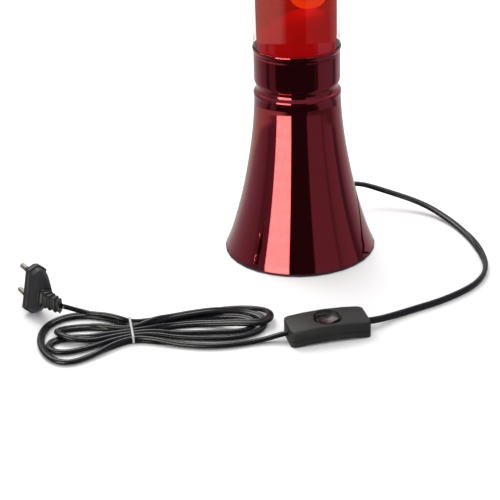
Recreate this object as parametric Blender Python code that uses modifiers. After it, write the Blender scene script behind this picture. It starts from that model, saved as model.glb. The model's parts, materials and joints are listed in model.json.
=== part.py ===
"""Lava lamp with a turned metal base, a glass bottle, an in-line switch and a flat two-pin plug.

Metres, +Z up. The lamp stands on Z = 0 with its axis on Z; its cord leaves at the back and
lies on the surface, by way of the switch and a tied hank, to the plug.
"""
import math

import bpy
import numpy as np
from mathutils import Matrix, Vector

MM = 0.001

# Driving dimensions, millimetres.
BASE_RADIUS = 55.6
GAP = 0.3
BOTTLE_BOTTOM = 124.3
BOTTLE_MOUTH = 371.0
CAP_BOTTOM = 333.6
CAP_TOP = 392.0
BODY_STEPS = 32
HOLDER_BOTTOM = 27.5
BULB_BOTTOM = 43.0
BULB_RADIUS = 19.5
CORD_RADIUS = 2.5
EXIT_ANGLE = math.radians(55.0)
EXIT_HEIGHT = 22.0
SWITCH_CENTRE = (17.0, -138.0)
SWITCH_ANGLE = math.radians(14.5)
SWITCH_LENGTH = 54.5
SWITCH_WIDTH = 24.4
SWITCH_HEIGHT = 11.4
SWITCH_ARCH = 2.0
SWITCH_SPLIT = 4.0
PLUG_FACE = (-184.2, -97.0, 17.75)
PLUG_ANGLE = math.radians(125.0)
PLUG_LEAN = math.radians(12.0)
PIN_SPACING = 18.6
PIN_LENGTH = 19.0
HANK_BOTTOM = 1.4
HANK_TOP = 8.0

for leftover in list(bpy.data.objects):
    bpy.data.objects.remove(leftover, do_unlink=True)

parts = bpy.data.collections.new("lava_lamp")
cutters = bpy.data.collections.new("cutters")
bpy.context.scene.collection.children.link(parts)
bpy.context.scene.collection.children.link(cutters)


def make_material(name, colour, metallic=0.0, roughness=0.5, transmission=0.0):
    """One Principled material."""
    material = bpy.data.materials.new(name)
    material.use_nodes = True
    shader = material.node_tree.nodes["Principled BSDF"]
    shader.inputs["Base Color"].default_value = (*colour, 1.0)
    shader.inputs["Metallic"].default_value = metallic
    shader.inputs["Roughness"].default_value = roughness
    shader.inputs["Transmission Weight"].default_value = transmission
    return material


def add_object(name, data, colour=(0.5, 0.5, 0.5), **finish):
    """Puts one sub-part into the collection with a material of its own."""
    item = bpy.data.objects.new(name, data)
    item.data.materials.append(make_material(name + "_finish", colour, **finish))
    parts.objects.link(item)
    return item


def mesh_from(name, points, faces, edges=()):
    """A mesh from points in millimetres."""
    mesh = bpy.data.meshes.new(name)
    mesh.from_pydata([[c * MM for c in p] for p in points], list(edges), faces)
    mesh.update()
    return mesh


def turned(name, profile, steps, centre=(0.0, 0.0, 0.0), closed=False, **finish):
    """A solid of revolution; the (radius, height) profile runs down its outer side."""
    points = [(radius, 0.0, height) for radius, height in profile]
    edges = [(i, i + 1) for i in range(len(points) - 1)]
    if closed:
        edges.append((len(points) - 1, 0))
    item = add_object(name, mesh_from(name, points, [], edges), **finish)
    item.location = [c * MM for c in centre]
    screw = item.modifiers.new("turn", "SCREW")
    screw.axis = "Z"
    screw.angle = 2.0 * math.pi
    screw.steps = steps
    screw.render_steps = steps
    screw.use_merge_vertices = True
    screw.merge_threshold = 0.00001
    screw.use_smooth_shade = True
    return item


def lofted(name, rings, centre=(0.0, 0.0, 0.0), **finish):
    """A closed solid skinned over rings of equal point counts, flat at both ends."""
    count = len(rings[0])
    points = [p for ring in rings for p in ring]
    faces = []
    for k in range(len(rings) - 1):
        for i in range(count):
            j = (i + 1) % count
            faces.append((k * count + i, k * count + j, (k + 1) * count + j, (k + 1) * count + i))
    faces.append(tuple(reversed(range(count))))
    faces.append(tuple((len(rings) - 1) * count + i for i in range(count)))
    item = add_object(name, mesh_from(name, points, faces), **finish)
    item.location = [c * MM for c in centre]
    return item


def extruded(name, outline, bottom, top, **finish):
    """A vertical slab with a counter-clockwise outline."""
    rings = [[(x, y, z) for x, y in outline] for z in (bottom, top)]
    return lofted(name, rings, **finish)


def block(name, size, centre, **finish):
    """A box about its centre."""
    hx, hy, hz = (c / 2.0 for c in size)
    rings = [[(-hx, -hy, z), (hx, -hy, z), (hx, hy, z), (-hx, hy, z)] for z in (-hz, hz)]
    return lofted(name, rings, centre, **finish)


def tube(name, route, radius, resolution=2, **finish):
    """A round cord or wire along a route of points in millimetres."""
    curve = bpy.data.curves.new(name, "CURVE")
    curve.dimensions = "3D"
    curve.bevel_depth = radius * MM
    curve.bevel_resolution = resolution
    curve.use_fill_caps = True
    spline = curve.splines.new("POLY")
    spline.points.add(len(route) - 1)
    for point, position in zip(spline.points, route):
        point.co = (*(c * MM for c in position), 1.0)
    return add_object(name, curve, **finish)


def boolean(item, tool, operation="DIFFERENCE"):
    """Cuts the tool out of the item, or joins it on; the tool moves to the cutters."""
    parts.objects.unlink(tool)
    cutters.objects.link(tool)
    tool.name = "cutter_" + tool.name
    tool.hide_render = True
    tool.display_type = "WIRE"
    modifier = item.modifiers.new("boolean", "BOOLEAN")
    modifier.operation = operation
    modifier.solver = "EXACT"
    modifier.object = tool


def drill(item, name, radius, bottom, top, position, steps=16):
    """A vertical round hole."""
    profile = [(0.0, top), (radius, top), (radius, bottom), (0.0, bottom)]
    boolean(item, turned(name, profile, steps, (position[0], position[1], 0.0)))


def smooth_route(points, spacing):
    """A Catmull-Rom curve through the points, resampled at an even spacing."""
    known = [np.array(p, float) for p in points]
    known = [2 * known[0] - known[1]] + known + [2 * known[-1] - known[-2]]
    fine = []
    for a, b, c, d in zip(known, known[1:], known[2:], known[3:]):
        for t in np.linspace(0.0, 1.0, 24, endpoint=False):
            fine.append(0.5 * (2 * b + (c - a) * t + (2 * a - 5 * b + 4 * c - d) * t * t
                               + (3 * b - a - 3 * c + d) * t ** 3))
    fine.append(known[-2])
    fine = np.array(fine)
    reach = np.concatenate([[0.0], np.cumsum(np.linalg.norm(np.diff(fine, axis=0), axis=1))])
    count = max(2, int(round(reach[-1] / spacing)))
    wanted = np.linspace(0.0, reach[-1], count + 1)
    return [tuple(np.interp(w, reach, fine[:, k]) for k in range(3)) for w in wanted]


def rounded_section(half_width, low, high, radius):
    """Points around an upright section in (across, up), with its two upper corners rounded."""
    return [
        (-half_width, low), (half_width, low), (half_width, high - radius),
        (half_width - 0.3 * radius, high - 0.3 * radius), (half_width - radius, high),
        (radius - half_width, high), (0.3 * radius - half_width, high - 0.3 * radius),
        (-half_width, high - radius),
    ]


# Base: a turned aluminium shell whose groove makes the ledge that the bottle stands on.
shell_outside = [
    (30.95, 155.6), (31.4, 155.1), (31.5, 154.2), (30.7, 151.4), (30.6, 131.2), (29.2, 128.0),
    (28.9, 126.2), (29.2, 124.8), (30.6, 123.4), (31.2, 122.0), (31.0, 119.6), (31.3, 110.0),
    (32.1, 100.0), (34.0, 84.5), (36.4, 70.0), (39.3, 55.0), (42.7, 40.0), (46.7, 25.5),
    (50.7, 12.9), (54.9, 2.0),
]
shell_inside = [
    (53.8, 2.0), (49.7, 12.5), (45.7, 25.0), (41.6, 39.8), (38.2, 54.7), (35.3, 69.7), (32.9, 84.2),
    (31.1, 99.8), (30.2, 110.0), (30.0, 121.4), (28.4, 124.4), (27.9, 126.2), (29.6, 130.6),
    (29.6, 148.0), (29.75, 151.6), (30.45, 155.2),
]
base_shell = turned("base_shell", shell_outside + shell_inside, BODY_STEPS, closed=True,
                    colour=(0.28, 0.02, 0.03), metallic=1.0, roughness=0.18)

wall_slope = math.atan2(48.0 - 45.2, 30.5 - 21.4)
exit_out = Vector((math.cos(EXIT_ANGLE), math.sin(EXIT_ANGLE), 0.0))
exit_turn = Matrix.Rotation(EXIT_ANGLE, 4, "Z") @ Matrix.Rotation(math.pi / 2.0, 4, "Y")
exit_hole = turned("exit_hole", [(0.0, 8.0), (4.2, 8.0), (4.2, -8.0), (0.0, -8.0)], 20)
exit_hole.matrix_world = Matrix.Translation((exit_out * 47.2 + Vector((0, 0, 22.0))) * MM) @ exit_turn
boolean(base_shell, exit_hole)

base_plate = turned("base_plate", [
    (0.0, 8.0), (22.0, 8.0), (22.6, 4.0), (50.4, 4.0), (48.6, 9.2), (50.2, 9.2),
    (53.2, 1.7), (55.2, 1.7), (BASE_RADIUS, 1.3), (BASE_RADIUS, 0.7), (55.4, 0.5), (0.0, 0.5),
], BODY_STEPS, colour=(0.02, 0.02, 0.02), roughness=0.5)
for number in range(4):
    turn = math.radians(35.0 + 90.0 * number)
    spot = (43.0 * math.cos(turn), 43.0 * math.sin(turn))
    drill(base_plate, "foot_pocket", 5.3, 0.0, 2.3, spot)
    turned("foot_pad_%d" % (number + 1), [(0.0, 2.0), (5.0, 2.0), (5.0, 0.3), (4.7, 0.0), (0.0, 0.0)],
           16, (spot[0], spot[1], 0.0), colour=(0.03, 0.03, 0.03), roughness=0.9)
for number in range(6):
    turn = math.radians(60.0 * number)
    drill(base_plate, "vent", 3.5, 0.0, 5.0, (33.0 * math.cos(turn), 33.0 * math.sin(turn)), 12)

# Bracket, lampholder and reflector bulb under the bottle.
strap_top = HOLDER_BOTTOM - GAP
strap = [
    (-22.0, 8.3), (-14.0, 8.3), (-14.0, strap_top - 1.2), (14.0, strap_top - 1.2), (14.0, 8.3),
    (22.0, 8.3), (22.0, 9.5), (15.2, 9.5), (15.2, strap_top), (-15.2, strap_top),
    (-15.2, 9.5), (-22.0, 9.5),
]
bracket = lofted("holder_bracket", [[(x, y, z) for x, z in strap] for y in (8.0, -8.0)],
                 colour=(0.6, 0.6, 0.62), metallic=1.0, roughness=0.35)
drill(bracket, "nipple_hole", 5.2, 22.0, 30.0, (0.0, 0.0))
for number, side in enumerate((-1.0, 1.0)):
    drill(base_plate, "screw_pilot", 1.8, 2.6, 9.0, (18.5 * side, 0.0), 10)
    drill(bracket, "strap_hole", 1.8, 7.0, 11.0, (18.5 * side, 0.0), 10)
    turned("bracket_screw_%d" % (number + 1), [
        (0.0, 11.8), (1.9, 11.7), (2.8, 10.8), (2.8, 9.8), (1.4, 9.8), (1.4, 4.2), (0.0, 3.4),
    ], 12, (18.5 * side, 0.0, 0.0), colour=(0.6, 0.6, 0.6), metallic=1.0, roughness=0.3)

turned("holder_nipple", [(4.85, 34.0), (4.85, 20.5), (3.7, 20.5), (3.7, 34.0)], 16, closed=True,
       colour=(0.6, 0.5, 0.25), metallic=1.0, roughness=0.35)
hexagon = [(8.0 * math.cos(k * math.pi / 3.0), 8.0 * math.sin(k * math.pi / 3.0)) for k in range(6)]
holder_nut = extruded("holder_nut", hexagon, 22.6, 25.6, colour=(0.6, 0.5, 0.25), metallic=1.0,
                      roughness=0.35)
drill(holder_nut, "nut_hole", 5.15, 20.0, 28.0, (0.0, 0.0))

turned("lampholder_body", [
    (11.2, 66.0), (13.6, 65.4), (13.6, 30.0), (12.6, 27.5), (5.15, 27.5), (5.15, 30.0),
    (9.6, 30.0), (9.6, 64.6),
], 24, closed=True, colour=(0.85, 0.84, 0.8), roughness=0.4)
turned("lampholder_insert", [(0.0, 39.2), (9.2, 39.2), (9.2, 35.0), (0.0, 35.0)], 20,
       colour=(0.8, 0.78, 0.72), roughness=0.6)
turned("lampholder_thread", [(7.8, 62.0), (7.8, 39.5), (7.35, 39.5), (7.35, 62.0)], 20, closed=True,
       colour=(0.75, 0.6, 0.3), metallic=1.0, roughness=0.3)
turned("lampholder_contact", [(0.0, 42.6), (2.4, 42.2), (2.6, 39.5), (0.0, 39.5)], 12,
       colour=(0.75, 0.6, 0.3), metallic=1.0, roughness=0.3)

cap_thread = []
for ridge in range(3):
    cap_thread += [(6.9, 62.0 - 4.5 * ridge), (6.3, 59.8 - 4.5 * ridge)]
turned("bulb_cap", [(0.0, 66.0), (6.5, 66.0), (6.9, 64.5)] + cap_thread + [
    (6.0, 47.0), (3.2, 45.0), (2.4, 43.4), (0.0, BULB_BOTTOM),
], 16, (0.0, 0.0, 0.0), colour=(0.7, 0.68, 0.62), metallic=1.0, roughness=0.3)
turned("bulb_glass", [
    (0.0, 115.0), (7.0, 114.4), (13.5, 112.2), (18.0, 108.0), (BULB_RADIUS, 103.0), (18.8, 98.5),
    (15.0, 92.0), (10.5, 86.0), (7.6, 76.0), (6.6, 66.3), (5.9, 66.3), (6.9, 76.4),
    (9.9, 86.5), (14.4, 92.6), (18.0, 98.9), (18.6, 103.0), (17.2, 107.4), (13.0, 111.3), (0.0, 114.1),
], 20, colour=(0.9, 0.9, 0.88), roughness=0.2, transmission=0.6)
turned("bulb_stem", [(0.0, 80.0), (1.8, 79.6), (2.0, 72.0), (4.4, 67.5), (4.4, 66.3), (0.0, 66.3)],
       12, colour=(0.9, 0.9, 0.9), roughness=0.1, transmission=0.9)
filament_route = [(-1.0, 0.0, 80.4), (-6.0, 0.0, 90.0), (-7.5, 0.0, 98.0), (-4.0, 0.0, 99.2),
                  (0.0, 0.0, 97.6), (4.0, 0.0, 99.2), (7.5, 0.0, 98.0), (6.0, 0.0, 90.0),
                  (1.0, 0.0, 80.4)]
tube("bulb_filament", filament_route, 0.3, 0, colour=(0.4, 0.4, 0.4), metallic=1.0)

# Glass bottle, its crown closure, and what is inside it.
bottle_outside = [
    (11.4, BOTTLE_MOUTH), (12.9, 370.4), (12.9, 367.4), (12.2, 365.6), (12.3, 361.0), (14.2, 356.0),
    (19.0, 348.0), (21.6, 338.0), (24.6, 311.0), (26.7, 289.0), (28.5, 265.0),
    (29.8, 240.0), (30.6, 214.0), (30.75, 190.0), (30.5, 159.0), (30.1, 155.8),
    (29.2, 148.5), (29.2, 132.3), (28.4, 128.9), (26.4, 126.2),
    (21.2, BOTTLE_BOTTOM), (0.0, 127.2),
]
bottle_inside = [
    (0.0, 130.8), (20.5, 129.6), (26.2, 134.8), (26.9, 149.0), (28.35, 190.0), (28.2, 214.0),
    (26.1, 265.0), (22.2, 311.0), (19.2, 338.0), (16.4, 346.6),
    (11.8, 354.4), (10.0, 361.0), (10.0, 370.6),
]
turned("glass_bottle", bottle_inside + bottle_outside, BODY_STEPS,
       colour=(0.95, 0.97, 0.96), roughness=0.02, transmission=1.0)
turned("closure_liner", [(0.0, 372.1), (12.4, 372.1), (12.4, 371.3), (0.0, 371.3)], 20,
       colour=(0.75, 0.75, 0.7), roughness=0.7)
turned("crown_closure", [
    (0.0, 373.0), (12.6, 373.0), (13.8, 371.8), (14.4, 367.2), (14.0, 367.0), (13.4, 371.4),
    (12.5, 372.4), (0.0, 372.4),
], 24, colour=(0.7, 0.68, 0.6), metallic=1.0, roughness=0.3)

COIL_TURNS = 13
COIL_CORNERS = 6
coil_route = []
for k in range(COIL_TURNS * COIL_CORNERS + 1):
    around = math.radians(8.0) + math.radians(340.0) * k / (COIL_TURNS * COIL_CORNERS)
    twist = 2.0 * math.pi * k / COIL_CORNERS
    reach = 16.5 + 3.0 * math.cos(twist)
    height = 134.4 + 3.0 * math.sin(twist)
    coil_route.append((reach * math.cos(around), reach * math.sin(around), height))
tube("heating_coil", coil_route, 0.45, 0, colour=(0.7, 0.7, 0.7), metallic=1.0, roughness=0.3)


def wax_rings(stations, points=20):
    """Level rings from (height, radius, offset along X, offset along Y) stations."""
    rings = []
    for height, radius, off_x, off_y in stations:
        rings.append([(off_x + radius * math.cos(2.0 * math.pi * k / points),
                       off_y + radius * math.sin(2.0 * math.pi * k / points), height)
                      for k in range(points)])
    return rings


def egg(bottom, top, radius, levels=8):
    """Stations of a drop that is fuller below than above."""
    stations = []
    for k in range(levels):
        t = math.pi * (0.06 + 0.88 * k / (levels - 1))
        lift = 0.5 - 0.5 * math.cos(t)
        stations.append((bottom + (top - bottom) * lift ** 1.12, radius * math.sin(t), 0.0, 0.0))
    return stations


wax_pool = lofted("wax_pool", wax_rings([
    (131.4, 14.0, 0.0, 0.0), (131.6, 22.5, 0.0, 0.0), (135.0, 25.5, 0.0, 0.0), (140.0, 26.1, 0.0, 0.0),
    (149.0, 26.2, 0.0, 0.0), (160.0, 25.4, 0.6, 0.0), (168.0, 22.5, 2.6, 0.0), (175.0, 17.6, 5.6, 0.0),
    (180.0, 11.5, 8.6, 0.0), (182.6, 5.0, 10.6, 0.0),
]), colour=(0.55, 0.01, 0.01), roughness=0.4)
boolean(wax_pool, turned("coil_channel", [(22.0, 139.0), (22.0, 128.0), (11.0, 128.0), (11.0, 139.0)],
                         20, closed=True))
lofted("wax_column", wax_rings(egg(0.0, 58.0, 16.0)), (7.0, -3.0, 188.0),
       colour=(0.55, 0.01, 0.01), roughness=0.4)
lofted("wax_drop_large", wax_rings(egg(0.0, 30.0, 13.0), 16), (4.0, 2.0, 264.0),
       colour=(0.55, 0.01, 0.01), roughness=0.4)
lofted("wax_drop_small", wax_rings(egg(0.0, 16.0, 7.5), 12), (-5.0, -2.0, 312.0),
       colour=(0.55, 0.01, 0.01), roughness=0.4)

turned("top_cap", [
    (0.0, CAP_TOP), (15.6, CAP_TOP), (17.0, 391.2), (17.6, 389.6), (23.9, 335.4), (24.1, 334.2),
    (23.9, CAP_BOTTOM), (22.8, CAP_BOTTOM), (22.9, 335.0), (16.7, 389.2), (16.0, 390.6), (0.0, 391.0),
], BODY_STEPS, colour=(0.28, 0.02, 0.03), metallic=1.0, roughness=0.18)

# Cord bushing in the shell's wall, and the cord inside the base.
bushing = turned("cord_bushing", [
    (0.0, 24.0), (2.9, 24.0), (3.1, 23.6), (4.3, 2.0), (3.9, 1.0), (3.9, -3.4), (0.0, -3.4),
], 20, colour=(0.02, 0.02, 0.02), roughness=0.5)
bushing_place = Matrix.Translation((exit_out * 47.2 + Vector((0, 0, EXIT_HEIGHT))) * MM)
bushing.matrix_world = bushing_place @ exit_turn
tilt = Matrix.Rotation(-wall_slope, 4, "Y")
flange_turn = Matrix.Rotation(EXIT_ANGLE, 4, "Z") @ tilt @ Matrix.Rotation(math.pi / 2.0, 4, "Y")
for name, low, high, radius in (("outer_flange", 0.95, 2.6, 6.6), ("inner_flange", -3.4, -1.75, 6.2)):
    flange = turned(name, [(0.0, high), (radius, high), (radius, low), (0.0, low)], 20)
    flange.matrix_world = bushing_place @ flange_turn
    boolean(bushing, flange, "UNION")


def exit_point(distance, height):
    """A point on the radial line that the cord leaves along."""
    return (distance * math.cos(EXIT_ANGLE), distance * math.sin(EXIT_ANGLE), height)


inner_route = smooth_route([exit_point(42.3, 22.0), exit_point(37.5, 21.3), exit_point(31.0, 17.5),
                            exit_point(24.0, 14.5), exit_point(18.5, 14.0)], 5.0)
tube("inner_cord", inner_route, CORD_RADIUS, 2, colour=(0.02, 0.02, 0.02))
for name, side, tint in (("core_live", 1.0, (0.3, 0.12, 0.03)), ("core_neutral", -1.0, (0.03, 0.1, 0.4))):
    shift = Vector((-exit_out.y, exit_out.x, 0.0)) * 1.15 * side
    core = [Vector(exit_point(18.1, 14.0)) + shift, Vector(exit_point(12.0, 13.8)) + shift * 1.3,
            Vector(exit_point(5.0, 14.4)) + shift * 1.5, Vector(exit_point(1.2, 17.0)) + shift * 1.3,
            Vector((0.0, 0.0, 21.0)) + shift, Vector((0.0, 0.0, 34.6)) + shift]
    tube(name, smooth_route(core, 3.0), 0.85, 1, colour=tint)

# In-line switch: an arched case in two halves, lying across the cord.
switch_turn = Matrix.Translation((SWITCH_CENTRE[0] * MM, SWITCH_CENTRE[1] * MM, 0.0)) \
    @ Matrix.Rotation(SWITCH_ANGLE, 4, "Z")


def arch(x):
    """How far the switch rises above its ends at a station along it."""
    return SWITCH_ARCH * (1.0 - (2.0 * x / SWITCH_LENGTH) ** 2)


def case_rings(low, high, inset, corner, edge):
    """Rings along the switch, narrowing round its corners at both ends."""
    half = SWITCH_LENGTH / 2.0 - inset
    stations = [-half, 0.4 - half, 1.5 - half, corner - half, -half / 2.0, 0.0]
    stations += [-s for s in reversed(stations[:-1])]
    rings = []
    for x in stations:
        into = max(0.0, abs(x) - (half - corner))
        width = SWITCH_WIDTH / 2.0 - inset - corner + math.sqrt(max(corner ** 2 - into ** 2, 0.0))
        drop = edge * 0.7 if abs(x) > half - 0.2 else 0.0
        section = rounded_section(width, low, high - drop, edge)
        rings.append([(x, across, up + arch(x)) for across, up in section])
    return rings


switch_cover = lofted("switch_cover", case_rings(SWITCH_SPLIT + GAP, SWITCH_HEIGHT, 0.0, 3.6, 1.4),
                      colour=(0.05, 0.05, 0.05), roughness=0.6)
switch_base = lofted("switch_base", case_rings(0.1, SWITCH_SPLIT, 0.0, 3.6, 0.1),
                     colour=(0.04, 0.04, 0.04), roughness=0.6)
cover_hollow = lofted("cover_hollow", case_rings(1.0, 8.8, 1.7, 2.4, 0.6))
base_hollow = lofted("base_hollow", case_rings(2.4, 9.0, 1.7, 2.4, 0.6))
dish = turned("dish", [(0.0, 16.0), (10.6, 16.0), (10.2, 13.3), (8.8, 12.0), (0.0, 12.0)], 24)
slot = block("slot", (15.8, 12.6, 8.0), (0.0, 0.0, 12.0))
for item, tool in ((switch_cover, cover_hollow), (switch_cover, dish), (switch_cover, slot),
                   (switch_base, base_hollow)):
    boolean(item, tool)

ROCKER_PIVOT = 10.4
rocker_side = [(-6.4, -3.3), (-5.4, -3.3), (-3.0, -2.0), (-1.6, -3.4), (1.6, -3.4), (3.0, -1.6),
               (6.8, -0.5), (6.85, 3.5), (6.3, 3.9), (0.6, 1.2), (-0.6, 1.1), (-6.4, 0.7), (-6.9, 0.2)]
rocker = lofted("switch_rocker", [[(x, y, z) for x, z in rocker_side] for y in (6.0, -6.0)],
                colour=(0.01, 0.01, 0.01), roughness=0.15)
rocker.matrix_world = switch_turn @ Matrix.Translation((0.0, 0.0, ROCKER_PIVOT * MM))
for number, side in enumerate((-1.0, 1.0)):
    terminal = block("switch_terminal_%d" % (number + 1), (5.0, 5.0, 4.5), (0.0, 0.0, 0.0),
                     colour=(0.75, 0.6, 0.3), metallic=1.0, roughness=0.35)
    terminal.matrix_world = switch_turn @ Matrix.Translation((13.2 * side * MM, 0.0, 6.5 * MM))
    binder = turned("terminal_screw_%d" % (number + 1),
                    [(0.0, 0.9), (1.7, 0.8), (1.7, 0.0), (0.0, 0.0)], 12,
                    colour=(0.7, 0.7, 0.7), metallic=1.0, roughness=0.3)
    binder.matrix_world = switch_turn @ Matrix.Translation((13.2 * side * MM, 0.0, 9.05 * MM))
    boss_place = switch_turn @ Matrix.Translation((20.2 * side * MM, 0.0, arch(20.2) * MM))
    boss = turned("cover_boss", [(2.6, 9.6), (2.6, 5.3), (1.5, 5.3), (1.5, 9.6)], 12, closed=True)
    hole = turned("case_hole", [
        (0.0, 9.0), (1.5, 9.0), (1.5, 1.5), (2.4, 1.5), (2.4, -1.0), (0.0, -1.0),
    ], 12)
    screw = turned("case_screw_%d" % (number + 1), [
        (0.0, 7.6), (1.2, 7.4), (1.2, 1.2), (2.1, 1.1), (2.1, 0.4), (0.0, 0.4),
    ], 12, colour=(0.65, 0.65, 0.65), metallic=1.0, roughness=0.3)
    for item in (boss, hole, screw):
        item.matrix_world = boss_place
    boolean(switch_cover, boss, "UNION")
    boolean(switch_base, hole)
blade = block("contact_blade", (20.8, 4.0, 0.5), (0.0, 0.0, 0.0),
              colour=(0.75, 0.6, 0.3), metallic=1.0, roughness=0.35)
blade.matrix_world = switch_turn @ Matrix.Translation((0.0, 0.0, 6.3 * MM))
for item in (switch_cover, switch_base):
    item.matrix_world = switch_turn
for tool in (cover_hollow, base_hollow, dish):
    tool.matrix_world = switch_turn
slot.matrix_world = switch_turn @ Matrix.Translation((0.0, 0.0, 12.0 * MM))

# Plug: a flat two-pin body on its narrow edge, a ribbed boot, two pins with their sleeves.
plug_along = Vector((math.cos(PLUG_ANGLE), math.sin(PLUG_ANGLE), 0.0))
plug_side = Vector((math.sin(PLUG_ANGLE), -math.cos(PLUG_ANGLE), 0.0))
plug_up = plug_side * math.sin(PLUG_LEAN) + Vector((0, 0, 1)) * math.cos(PLUG_LEAN)
plug_across = plug_side * math.cos(PLUG_LEAN) - Vector((0, 0, 1)) * math.sin(PLUG_LEAN)
plug_face = Vector(PLUG_FACE)


def plug_ring(back, half_height, half_width, bevel):
    """One eight-sided section of the plug's body, a distance behind its face."""
    ring = []
    for up, across in ((-half_height, -1.4), (-half_height + bevel, -half_width),
                       (half_height - bevel, -half_width), (half_height, -1.4),
                       (half_height, 1.4), (half_height - bevel, half_width),
                       (-half_height + bevel, half_width), (-half_height, 1.4)):
        ring.append(plug_face - plug_along * back + plug_up * up + plug_across * across)
    return ring[::-1]


lofted("plug_body", [
    plug_ring(0.0, 17.2, 6.4, 3.4), plug_ring(0.6, 17.6, 6.85, 3.4), plug_ring(4.8, 17.6, 6.85, 3.4),
    plug_ring(5.2, 16.6, 6.1, 3.4), plug_ring(9.0, 15.6, 5.9, 3.6), plug_ring(13.0, 12.8, 5.6, 3.4),
    plug_ring(16.5, 9.4, 5.3, 2.8), plug_ring(19.0, 6.6, 5.0, 2.0),
], colour=(0.03, 0.03, 0.03), roughness=0.45)

BOOT_LENGTH = 14.0
BOOT_RINGS = 17
boot_rings = []
place = plug_face - plug_along * 19.3
for k in range(BOOT_RINGS):
    share = k / (BOOT_RINGS - 1)
    heading = math.radians(-55.0 + 45.0 * share)
    lean = PLUG_LEAN * (1.0 - share)
    ribbed = k % 4 in (0, 1) or k == BOOT_RINGS - 1
    tall = (5.9 - 0.9 * share) if ribbed else (4.9 - 0.7 * share)
    wide = (4.5 - 0.8 * share) if ribbed else (3.6 - 0.5 * share)
    side = Vector((-math.sin(heading), math.cos(heading), 0.0))
    up = side * math.sin(lean) + Vector((0, 0, 1)) * math.cos(lean)
    across = side * math.cos(lean) - Vector((0, 0, 1)) * math.sin(lean)
    boot_rings.append([place + up * tall * a + across * wide * b
                       for a, b in ((-1, -0.7), (-1, 0.7), (-0.7, 1), (0.7, 1),
                                    (1, 0.7), (1, -0.7), (0.7, -1), (-0.7, -1))])
    slope = -0.38 * share
    step = BOOT_LENGTH / (BOOT_RINGS - 1)
    place = place + Vector((math.cos(heading), math.sin(heading), slope)) * step
lofted("plug_boot", boot_rings, colour=(0.03, 0.03, 0.03), roughness=0.45)

for name, side in (("upper", 1.0), ("lower", -1.0)):
    foot = plug_face + plug_up * PIN_SPACING / 2.0 * side
    toe_in = plug_up * -0.55 / PIN_LENGTH * side
    aim = (plug_along + toe_in).to_track_quat("Z", "Y").to_matrix().to_4x4()
    pin_place = Matrix.Translation(foot * MM) @ aim
    sleeve = turned("pin_sleeve_" + name, [(0.0, 9.7), (1.95, 9.7), (1.95, 0.3), (0.0, 0.3)], 12,
                    colour=(0.02, 0.02, 0.02), roughness=0.5)
    pin = turned("pin_" + name, [(0.0, 19.0), (1.2, 18.8), (1.9, 18.0), (2.0, 17.2), (2.0, 10.0),
                                 (0.0, 10.0)], 14, colour=(0.7, 0.62, 0.4), metallic=1.0, roughness=0.3)
    sleeve.matrix_world = pin_place
    pin.matrix_world = pin_place

# Cord: from the bushing to the switch, on to the tied hank, and from it to the plug.
lamp_cord_points = [
    exit_point(72.0, 22.0), exit_point(77.0, 21.8), (49.0, 65.2, 19.8), (57.0, 66.4, 16.8),
    (67.0, 63.6, 13.8), (82.0, 58.0, 10.4), (95.0, 52.0, 7.4), (107.0, 41.5, 4.6), (118.0, 24.0, 2.65),
    (127.0, 0.0, 2.6), (132.0, -25.0, 2.6), (132.8, -43.0, 2.6), (129.5, -60.0, 2.6),
    (121.5, -75.0, 2.6), (109.0, -88.0, 2.6), (94.0, -99.5, 2.6), (78.0, -109.0, 2.7),
    (62.0, -119.5, 3.6), (52.5, -127.2, 5.0), (44.4, -130.6, 5.8),
]
tube("lamp_cord", smooth_route(lamp_cord_points, 11.0), CORD_RADIUS, 2, colour=(0.02, 0.02, 0.02))
switch_tail_points = [(-9.9, -145.0, 5.8), (-14.0, -145.8, 5.0), (-20.5, -146.7, 3.4), (-28.0, -148.2, 2.6)]
tube("switch_tail", smooth_route(switch_tail_points, 7.0), CORD_RADIUS, 2, colour=(0.02, 0.02, 0.02))
boot_end = place + Vector((0.3, 0.0, 0.0))
plug_tail_points = [tuple(boot_end), tuple(boot_end + Vector((5.5, 0.3, -2.6))),
                    tuple(boot_end + Vector((10.4, 1.6, -4.9)))]
tube("plug_tail", smooth_route(plug_tail_points, 5.0), CORD_RADIUS, 2, colour=(0.02, 0.02, 0.02))

hank_outline = [
    (-150.0, -113.0), (-150.0, -122.5), (-161.0, -125.5), (-170.5, -132.0), (-175.0, -141.0),
    (-173.0, -152.0), (-167.0, -164.0), (-157.0, -174.5), (-150.0, -177.0), (-140.0, -172.0),
    (-126.0, -159.0), (-111.5, -147.4), (-100.0, -149.0), (-86.0, -153.4), (-69.0, -158.0),
    (-46.0, -156.5), (-30.5, -151.5), (-29.5, -145.0), (-24.5, -134.0), (-20.0, -124.0),
    (-20.0, -115.5), (-28.0, -106.5), (-40.0, -101.0), (-51.0, -102.0), (-68.0, -106.5),
    (-85.0, -112.0), (-100.0, -119.0), (-115.0, -123.2), (-131.0, -116.5),
]
extruded("cord_hank", hank_outline, HANK_BOTTOM, HANK_TOP, colour=(0.02, 0.02, 0.02), roughness=0.5)

# The tie is a narrow loop round the hank's waist.
tie_turn = Matrix.Translation(Vector((-113.05, -135.25, 4.7)) * MM) \
    @ Matrix.Rotation(math.atan2(-0.98, 0.195), 4, "Z")
tie = block("cord_tie", (28.6, 1.6, 8.9), (0.0, 0.0, 0.0), colour=(0.7, 0.7, 0.7), roughness=0.5)
tie_opening = block("tie_opening", (27.0, 4.0, 7.3), (0.0, 0.0, 0.0))
boolean(tie, tie_opening)
for item in (tie, tie_opening):
    item.matrix_world = tie_turn
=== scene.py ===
"""Looks for a lava lamp: lacquered base, glass bottle, flat cord, in-line switch and plug.

Metres, +Z up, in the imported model's frame. Lengths named in millimetres are scaled by MM.
"""

import json
import math

import bmesh
import bpy
import numpy as np
from mathutils import Matrix, Vector, noise


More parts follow.
